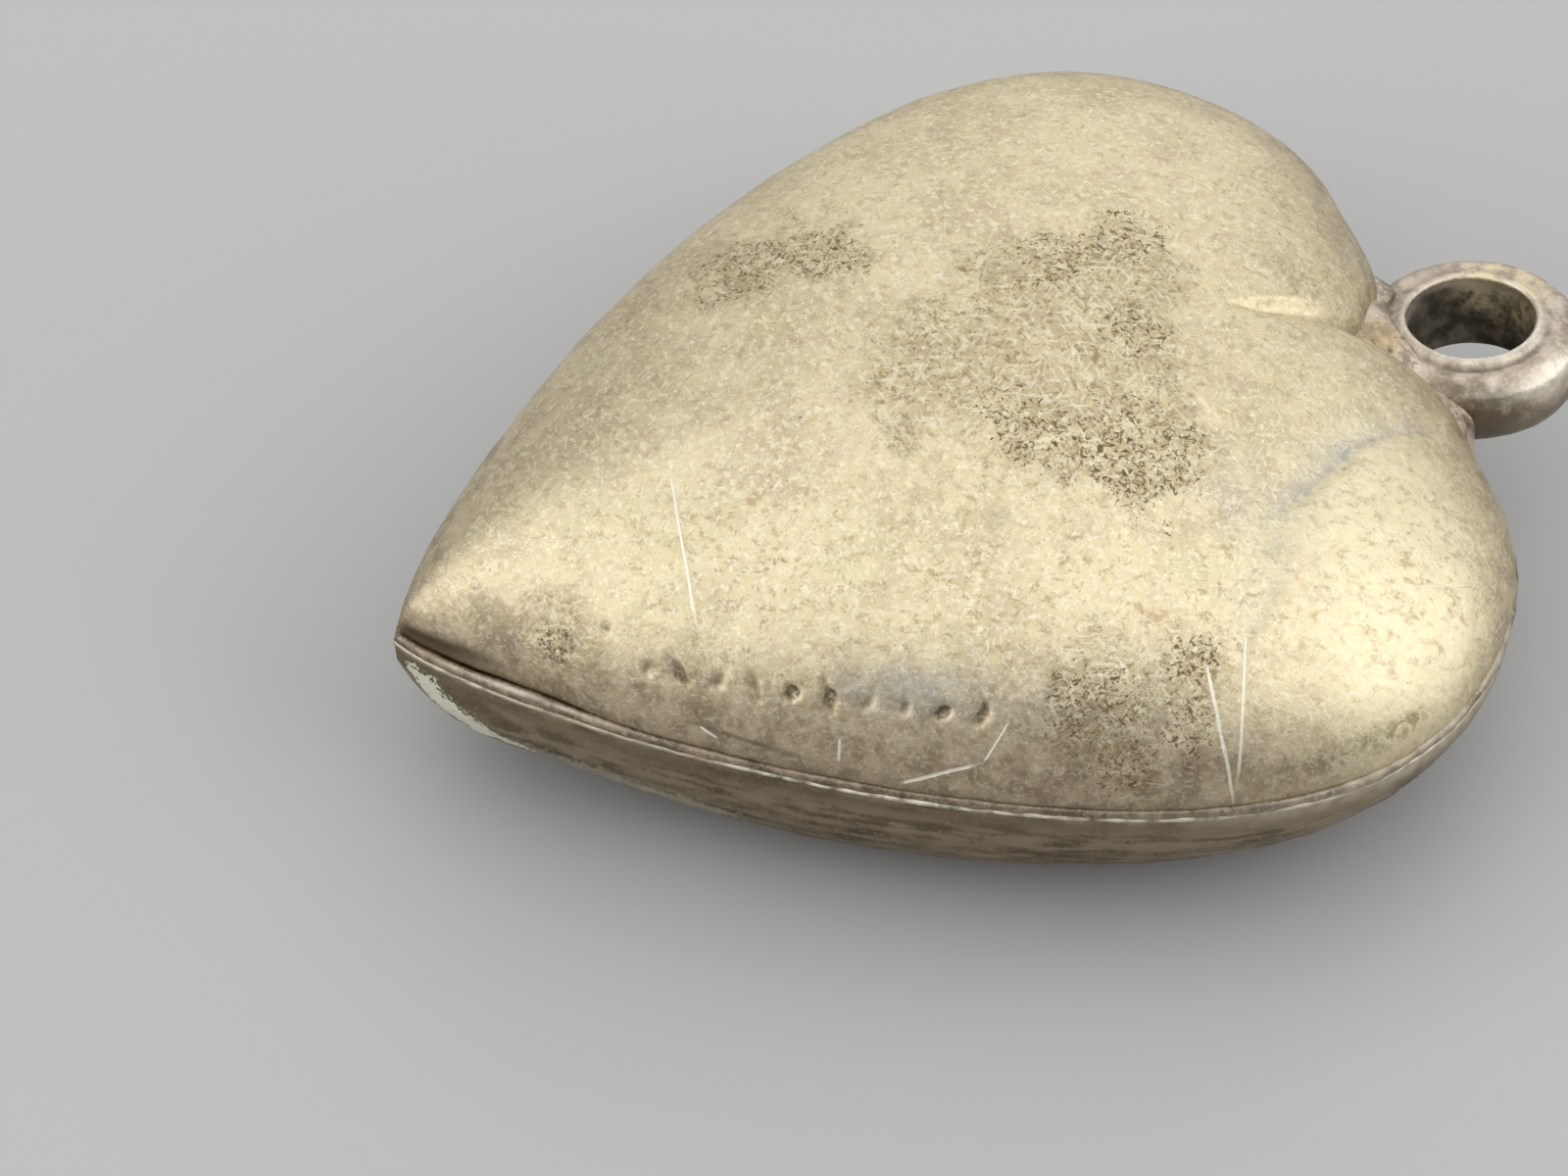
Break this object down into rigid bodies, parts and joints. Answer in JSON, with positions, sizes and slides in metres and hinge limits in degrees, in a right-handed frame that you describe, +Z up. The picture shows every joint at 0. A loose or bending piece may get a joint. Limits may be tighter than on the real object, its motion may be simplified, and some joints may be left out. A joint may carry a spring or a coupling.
{
  "type": "puffed heart charm",
  "caption": "Hollow puffed-heart charm in tarnished silver, soldered from a front and a back shell, with a fixed hanging ring in its cleft.",
  "frame": {"origin": "under the middle of the whole charm, on the surface that its back shell rests on", "axes": "+Z up through the charm's thickness, from the back shell to the front shell; +Y from the heart's tip to the hanging ring; +X across the lobes"},
  "size_m": [0.0142, 0.0185, 0.0061],
  "materials": {
    "front_silver": "satin silver with a warm, yellow-grey tarnish, pitted and scratched",
    "back_silver": "satin silver with a darker tarnish, bright where the tip has worn",
    "seam_solder": "dark solder line in the groove between the rims",
    "ring_silver": "pinkish-grey tarnished silver, rubbed bright at the lips of the hole",
    "ring_solder": "copper-toned solder, matt and slightly rough"
  },
  "bodies": {
    "root": {"front_shell": "front_silver", "back_shell": "back_silver", "seam_solder": "seam_solder", "hanging_ring": "ring_silver", "ring_solder": "ring_solder"}
  },
  "joints": []
}
